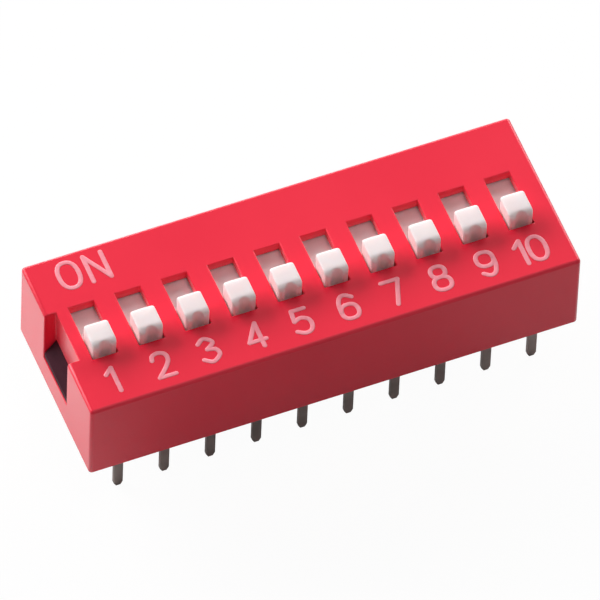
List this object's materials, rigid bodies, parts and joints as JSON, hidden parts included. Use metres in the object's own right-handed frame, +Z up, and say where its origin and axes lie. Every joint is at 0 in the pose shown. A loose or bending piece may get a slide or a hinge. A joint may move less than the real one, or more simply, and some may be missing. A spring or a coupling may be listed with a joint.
{
  "type": "dip switch",
  "caption": "Slide switch block for a circuit board: a row of independent OFF/ON sliders in a moulded cover that clips over its base, with flat pins along both sides.",
  "frame": {"origin": "middle of the footprint, on the board's surface: the centre of the base's underside, halfway between the two rows of pins and halfway between positions 5 and 6", "axes": "+X along the row from position 1 to position 10, +Y from OFF to ON, +Z up, away from the board"},
  "size_m": [0.027, 0.0098, 0.0095],
  "materials": {
    "red_cover": "moulded PBT, satin",
    "black_base": "moulded glass-filled PBT, matt",
    "white_slider": "moulded acetal, satin",
    "gold_spring": "gold-plated phosphor bronze strip, bright",
    "tinned_terminal": "tin-plated brass strip, satin"
  },
  "bodies": {
    "housing": {"cover": "red_cover", "base": "black_base", "front_terminal_01": "tinned_terminal", "front_terminal_02": "tinned_terminal", "front_terminal_03": "tinned_terminal", "front_terminal_04": "tinned_terminal", "front_terminal_05": "tinned_terminal", "front_terminal_06": "tinned_terminal", "front_terminal_07": "tinned_terminal", "front_terminal_08": "tinned_terminal", "front_terminal_09": "tinned_terminal", "front_terminal_10": "tinned_terminal", "back_terminal_01": "tinned_terminal", "back_terminal_02": "tinned_terminal", "back_terminal_03": "tinned_terminal", "back_terminal_04": "tinned_terminal", "back_terminal_05": "tinned_terminal", "back_terminal_06": "tinned_terminal", "back_terminal_07": "tinned_terminal", "back_terminal_08": "tinned_terminal", "back_terminal_09": "tinned_terminal", "back_terminal_10": "tinned_terminal"},
    "switch_01": {"slider_01": "white_slider", "contact_spring_01": "gold_spring"},
    "switch_02": {"slider_02": "white_slider", "contact_spring_02": "gold_spring"},
    "switch_03": {"slider_03": "white_slider", "contact_spring_03": "gold_spring"},
    "switch_04": {"slider_04": "white_slider", "contact_spring_04": "gold_spring"},
    "switch_05": {"slider_05": "white_slider", "contact_spring_05": "gold_spring"},
    "switch_06": {"slider_06": "white_slider", "contact_spring_06": "gold_spring"},
    "switch_07": {"slider_07": "white_slider", "contact_spring_07": "gold_spring"},
    "switch_08": {"slider_08": "white_slider", "contact_spring_08": "gold_spring"},
    "switch_09": {"slider_09": "white_slider", "contact_spring_09": "gold_spring"},
    "switch_10": {"slider_10": "white_slider", "contact_spring_10": "gold_spring"}
  },
  "joints": [
    {"name": "slide_01", "type": "slide", "parent": "housing", "child": "switch_01", "axis": [0, 1, 0], "range_m": [0, 0.00185]},
    {"name": "slide_02", "type": "slide", "parent": "housing", "child": "switch_02", "axis": [0, 1, 0], "range_m": [0, 0.00185]},
    {"name": "slide_03", "type": "slide", "parent": "housing", "child": "switch_03", "axis": [0, 1, 0], "range_m": [0, 0.00185]},
    {"name": "slide_04", "type": "slide", "parent": "housing", "child": "switch_04", "axis": [0, 1, 0], "range_m": [0, 0.00185]},
    {"name": "slide_05", "type": "slide", "parent": "housing", "child": "switch_05", "axis": [0, 1, 0], "range_m": [0, 0.00185]},
    {"name": "slide_06", "type": "slide", "parent": "housing", "child": "switch_06", "axis": [0, 1, 0], "range_m": [0, 0.00185]},
    {"name": "slide_07", "type": "slide", "parent": "housing", "child": "switch_07", "axis": [0, 1, 0], "range_m": [0, 0.00185]},
    {"name": "slide_08", "type": "slide", "parent": "housing", "child": "switch_08", "axis": [0, 1, 0], "range_m": [0, 0.00185]},
    {"name": "slide_09", "type": "slide", "parent": "housing", "child": "switch_09", "axis": [0, 1, 0], "range_m": [0, 0.00185]},
    {"name": "slide_10", "type": "slide", "parent": "housing", "child": "switch_10", "axis": [0, 1, 0], "range_m": [0, 0.00185]}
  ]
}
